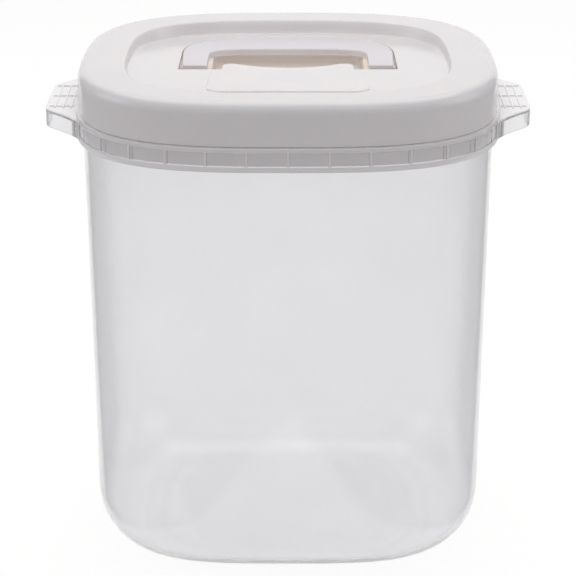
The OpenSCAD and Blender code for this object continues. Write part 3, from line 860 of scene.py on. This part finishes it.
def buildTray():
    top = -lid["top"]
    joint = top - 0.1   # the lower parts reach a little into the flange
    over = 2            # and the cuts a little over the lid's slope
    wall, bearing, edge = well["wall"], well["bearing"], well["shelfEdge"]
    shelf = handle["thick"] + well["rest"]
    heelShelf = handle["heelThick"] + well["rest"]
    heelStart = math.degrees(math.atan2(handle["heelThick"] - handle["pivotDrop"], handle["heel"]))
    stopTurn = math.radians(180 + heelStart + well["stopAngle"])
    stopY = handle["pivotY"] + heelCorner * math.cos(stopTurn)
    trough = handle["pivotDrop"] + math.hypot(handle["heel"], handle["pivotDrop"]) + well["swing"]
    wellA = gripA - wall - well["rest"]
    wellBack = handleBack - well["margin"]

    levels = [(0, top - well["flangeT"]), (0, top)]
    piece = slabPiece("fingerTray", pocketShape(well["flange"]), levels, onRamp)
    levels = [(1, -shelf - wall), (0, -shelf - wall + 1), (0, joint)]
    combine(piece, slabPiece("shelf", pocketShape(bearing), levels, onRamp), "UNION")
    low = (-pocketA - bearing, pocketFront - wall, -trough - wall)
    high = (pocketA + bearing, heelBack + wall, joint)
    combine(piece, boxPiece("troughs", low, high, well["troughR"], onRamp), "UNION")
    low = (-wellA - wall, pocketFront - wall, -well["depth"] - wall)
    high = (wellA + wall, wellBack + wall, joint)
    combine(piece, boxPiece("box", low, high, well["outerR"], onRamp), "UNION")

    levels = [(edge, -shelf), (0, -shelf + edge), (0, over)]
    combine(piece, slabPiece("pocketCut", pocketShape(0), levels, onRamp), "DIFFERENCE")
    for sign in (1, -1):
        def place(x, y, z):
            return onRamp(sign * x, y, z)
        # room for the heel to turn in front of the stop, and a shelf for it behind
        for y0, y1, deep in ((pocketFront, stopY, trough), (stopY - well["stopLap"], heelBack, heelShelf)):
            low, high = (gripA - well["rest"], y0, -deep), (pocketA, y1, over)
            combine(piece, boxPiece("heelCut", low, high, well["cutR"], place), "DIFFERENCE")
        bore = handle["pin"] + well["pinFit"]
        cut = pinPiece("bore", pocketA - 1, pocketA + bearing + 1, bore, place, 0.01)
        combine(piece, cut, "DIFFERENCE")
    low = (-wellA, pocketFront, -well["depth"])
    high = (wellA, wellBack, over + boxEnds * well["cornerR"])
    combine(piece, boxPiece("wellCut", low, high, well["cornerR"], onRamp), "DIFFERENCE")
    return piece


# a faintly warm white, which gives the well inside its warm tint
trayMoulding = dict(whiteMoulding, color="FFFAF5", roughness=0.42, soft=0, through=0.82)
trayPiece = buildTray()
trayMaterial = whitePolypropylene("warmTrayPolypropyleneMoulded", trayMoulding)
dress(trayPiece, trayMaterial, "lid", "finger_tray")
print("tray built:", len(trayPiece.data.polygons), "faces")


# lid seal: a soft ring round the plug
def buildSeal():
    out = lid["neckFit"] - tub["neckStep"] - well["rest"]
    foot = underTop - lid["sealHigh"]
    inner = out - lid["sealWide"]
    half = (out, (foot + underTop) / 2, 0)
    profile = roundCorners([
        half, (out, foot, lid["sealR"]), (inner, foot, lid["sealR"]),
        (inner, underTop, lid["sealTopR"]), (out, underTop, lid["sealTopR"]), half], 6)[:-1]
    mesh = bmesh.new()
    addRings(mesh, [levelRing(p.x, p.y) for p in profile], joined=True)
    return newObject("lidSeal", mesh)


sealRubber = dict(
    color="DCDCDA", roughness=0.5, ior=1.41, soft=0.3, softDepth=2,
    dust=0.05, dustSize=4, bump=0.1, bumpHigh=0.1,
)


def siliconeRubber():
    # compression-moulded translucent silicone: matt, soft edged, a little dusty
    values = sealRubber
    material, tree = startMaterial("siliconeRubberMoulded")
    where = addNode(tree, "ShaderNodeTexCoord")
    dust = addNode(tree, "ShaderNodeTexNoise", {}, {
        "Vector": (where, "Object"), "Scale": 1 / (values["dustSize"] * mm), "Detail": 4})
    rough = addNode(tree, "ShaderNodeMapRange", {}, {
        "Value": (dust, "Fac"), "To Min": values["roughness"] - values["dust"],
        "To Max": values["roughness"] + values["dust"]})
    bump = addNode(tree, "ShaderNodeBump", {}, {
        "Height": (dust, "Fac"), "Strength": values["bump"], "Distance": values["bumpHigh"] * mm})
    surface = addNode(tree, "ShaderNodeBsdfPrincipled", {}, {
        "Base Color": linearColor(values["color"]),
        "Roughness": (rough, "Result"),
        "IOR": values["ior"],
        "Subsurface Weight": values["soft"],
        "Subsurface Scale": values["softDepth"] * mm,
        "Normal": (bump, "Normal")})
    addNode(tree, "ShaderNodeOutputMaterial", {}, {"Surface": (surface, "BSDF")})
    return material


sealPiece = buildSeal()
dress(sealPiece, siliconeRubber(), "lid", "lid_seal", 60)
print("seal built:", len(sealPiece.data.polygons), "faces")


# floor, light and camera, in metres
studio = dict(
    floorSize=6, floorWhite=0.65, shadowShare=0.2, floorGlow=0.85, backdrop=1.0,
    # soft light from all round, brightest from one direction
    worldLow=0.26, worldHigh=0.58, worldFrom=(0, -0.35, 0.94), worldTint="FFFAF9",
    # what a gloss reflects: a greyer room in front and beside
    mirrorFront=0.6, mirrorSide=0.4, sideEdge=(-0.3, 0.4),
    # and a white sheet that fans out behind, from a place on the floor, and overhead
    sheetFrom=(0, -0.35, 0), sheetEdge=(0.89, 0.905), topEdge=(0.5, 0.8),
    # name, place, size and watts of each lamp, all turned to the target
    lamps=[
        ("top", (0, 0.5, 1.6), 1.4, 7.5),
        ("front", (0, -1, 1.7), 1.2, 2.5),
        ("left", (-1.5, 0.1, 0.9), 0.9, 3),
        ("right", (1.5, 0.1, 0.9), 0.9, 3),
    ],
    target=(0, 0, 0.2),
)


def seenDirectly(tree):
    # 1 for rays from the camera and for those that reflect or pass through the clear tub
    path = addNode(tree, "ShaderNodeLightPath")
    first = addNode(tree, "ShaderNodeMath", {"operation": "MAXIMUM"}, {
        0: (path, "Is Camera Ray"), 1: (path, "Is Glossy Ray")})
    return addNode(tree, "ShaderNodeMath", {"operation": "MAXIMUM"}, {
        0: (first, "Value"), 1: (path, "Is Transmission Ray")})


def mirroredRoom(tree, way):
    # brightness that a gloss reflects from a direction, seen in plan
    axes = addNode(tree, "ShaderNodeSeparateXYZ", {}, {"Vector": way})
    flat = addNode(tree, "ShaderNodeCombineXYZ", {}, {"X": (axes, "X"), "Y": (axes, "Y")})
    ahead = addNode(tree, "ShaderNodeVectorMath", {"operation": "NORMALIZE"}, {0: (flat, "Vector")})
    aheadAxes = addNode(tree, "ShaderNodeSeparateXYZ", {}, {"Vector": (ahead, "Vector")})
    sheet = addNode(tree, "ShaderNodeMapRange", {}, {
        "Value": (aheadAxes, "Y"),
        "From Min": studio["sheetEdge"][0], "From Max": studio["sheetEdge"][1]})
    room = addNode(tree, "ShaderNodeMapRange", {}, {
        "Value": (aheadAxes, "Y"),
        "From Min": studio["sideEdge"][0], "From Max": studio["sideEdge"][1],
        "To Min": studio["mirrorFront"], "To Max": studio["mirrorSide"]})
    return addNode(tree, "ShaderNodeMapRange", {}, {
        "Value": (sheet, "Result"), "To Min": (room, "Result")})


def unlessStraight(tree, brightness):
    # keeps 1 for rays that were never reflected
    path = addNode(tree, "ShaderNodeLightPath")
    straight = addNode(tree, "ShaderNodeMath", {"operation": "LESS_THAN"}, {
        0: (path, "Glossy Depth"), 1: 0.5})
    return addNode(tree, "ShaderNodeMath", {"operation": "MAXIMUM"}, {
        0: brightness, 1: (straight, "Value")})


def paleFloor():
    # matt white sheet: bright to the eye, with the object's soft shadow on it
    material, tree = startMaterial("paleFloorSheet")
    white = addNode(tree, "ShaderNodeBsdfDiffuse", {}, {"Color": [studio["floorWhite"]] * 3 + [1]})
    shadowed = addNode(tree, "ShaderNodeBsdfDiffuse", {}, {"Color": [studio["shadowShare"]] * 3 + [1]})
    where = addNode(tree, "ShaderNodeTexCoord")
    way = addNode(tree, "ShaderNodeVectorMath", {"operation": "SUBTRACT"}, {
        0: (where, "Object"), 1: list(studio["sheetFrom"])})
    seen = unlessStraight(tree, (mirroredRoom(tree, (way, "Vector")), "Result"))
    strength = addNode(tree, "ShaderNodeMath", {"operation": "MULTIPLY"}, {
        0: (seen, "Value"), 1: studio["floorGlow"]})
    glow = addNode(tree, "ShaderNodeEmission", {}, {"Strength": (strength, "Value")})
    bright = addNode(tree, "ShaderNodeAddShader", {}, {0: (shadowed, "BSDF"), 1: (glow, "Emission")})
    mix = addNode(tree, "ShaderNodeMixShader", {}, {
        0: (seenDirectly(tree), "Value"), 1: (white, "BSDF"), 2: (bright, "Shader")})
    addNode(tree, "ShaderNodeOutputMaterial", {}, {"Surface": (mix, "Shader")})
    return material


def buildFloor():
    mesh = bmesh.new()
    bmesh.ops.create_grid(mesh, x_segments=1, y_segments=1, size=studio["floorSize"] / 2 / mm)
    piece = newObject("floor", mesh)
    piece.data.materials.append(paleFloor())


def facing(place, target):
    return (Vector(target) - place).to_track_quat("-Z", "Y").to_euler()


def lightStudio():
    world = bpy.data.worlds.new("studio")
    bpy.context.scene.world = world
    world.use_nodes = True
    tree = world.node_tree
    tree.nodes.clear()
    where = addNode(tree, "ShaderNodeTexCoord")
    axes = addNode(tree, "ShaderNodeSeparateXYZ", {}, {"Vector": (where, "Generated")})
    toward = addNode(tree, "ShaderNodeVectorMath", {"operation": "DOT_PRODUCT"}, {
        0: (where, "Generated"), 1: list(studio["worldFrom"])})
    level = addNode(tree, "ShaderNodeMapRange", {}, {
        "Value": (toward, "Value"), "From Min": -1, "From Max": 1,
        "To Min": studio["worldLow"], "To Max": studio["worldHigh"]})
    soft = addNode(tree, "ShaderNodeBackground", {}, {
        "Color": linearColor(studio["worldTint"]), "Strength": (level, "Result")})
    above = addNode(tree, "ShaderNodeMapRange", {}, {
        "Value": (axes, "Z"), "From Min": studio["topEdge"][0], "From Max": studio["topEdge"][1]})
    room = mirroredRoom(tree, (where, "Generated"))
    lit = addNode(tree, "ShaderNodeMath", {"operation": "MAXIMUM"}, {
        0: (room, "Result"), 1: (above, "Result")})
    seen = unlessStraight(tree, (lit, "Value"))
    strength = addNode(tree, "ShaderNodeMath", {"operation": "MULTIPLY"}, {
        0: (seen, "Value"), 1: studio["backdrop"]})
    white = addNode(tree, "ShaderNodeBackground", {}, {
        "Color": [1, 1, 1, 1], "Strength": (strength, "Value")})
    mix = addNode(tree, "ShaderNodeMixShader", {}, {
        0: (seenDirectly(tree), "Value"), 1: (soft, "Background"), 2: (white, "Background")})
    addNode(tree, "ShaderNodeOutputWorld", {}, {"Surface": (mix, "Shader")})
    for name, place, size, watts in studio["lamps"]:
        lamp = bpy.data.objects.new(name, bpy.data.lights.new(name, "AREA"))
        lamp.data.energy = watts
        lamp.data.size = size
        lamp.location = place
        lamp.rotation_euler = facing(lamp.location, studio["target"])
        bpy.context.collection.objects.link(lamp)


view = dict(lens=130.5, place=(0, -1.2338, 0.6001), aim=(0, 0, 0.151), farthest=50)


def placeCamera():
    camera = bpy.data.objects.new("camera", bpy.data.cameras.new("camera"))
    bpy.context.collection.objects.link(camera)
    camera.data.lens = view["lens"]
    camera.data.clip_end = view["farthest"]
    camera.location = view["place"]
    camera.rotation_euler = facing(camera.location, view["aim"])
    bpy.context.scene.camera = camera


buildFloor()
lightStudio()
placeCamera()
bpy.context.scene.view_settings.view_transform = "Standard"
print("studio ready")
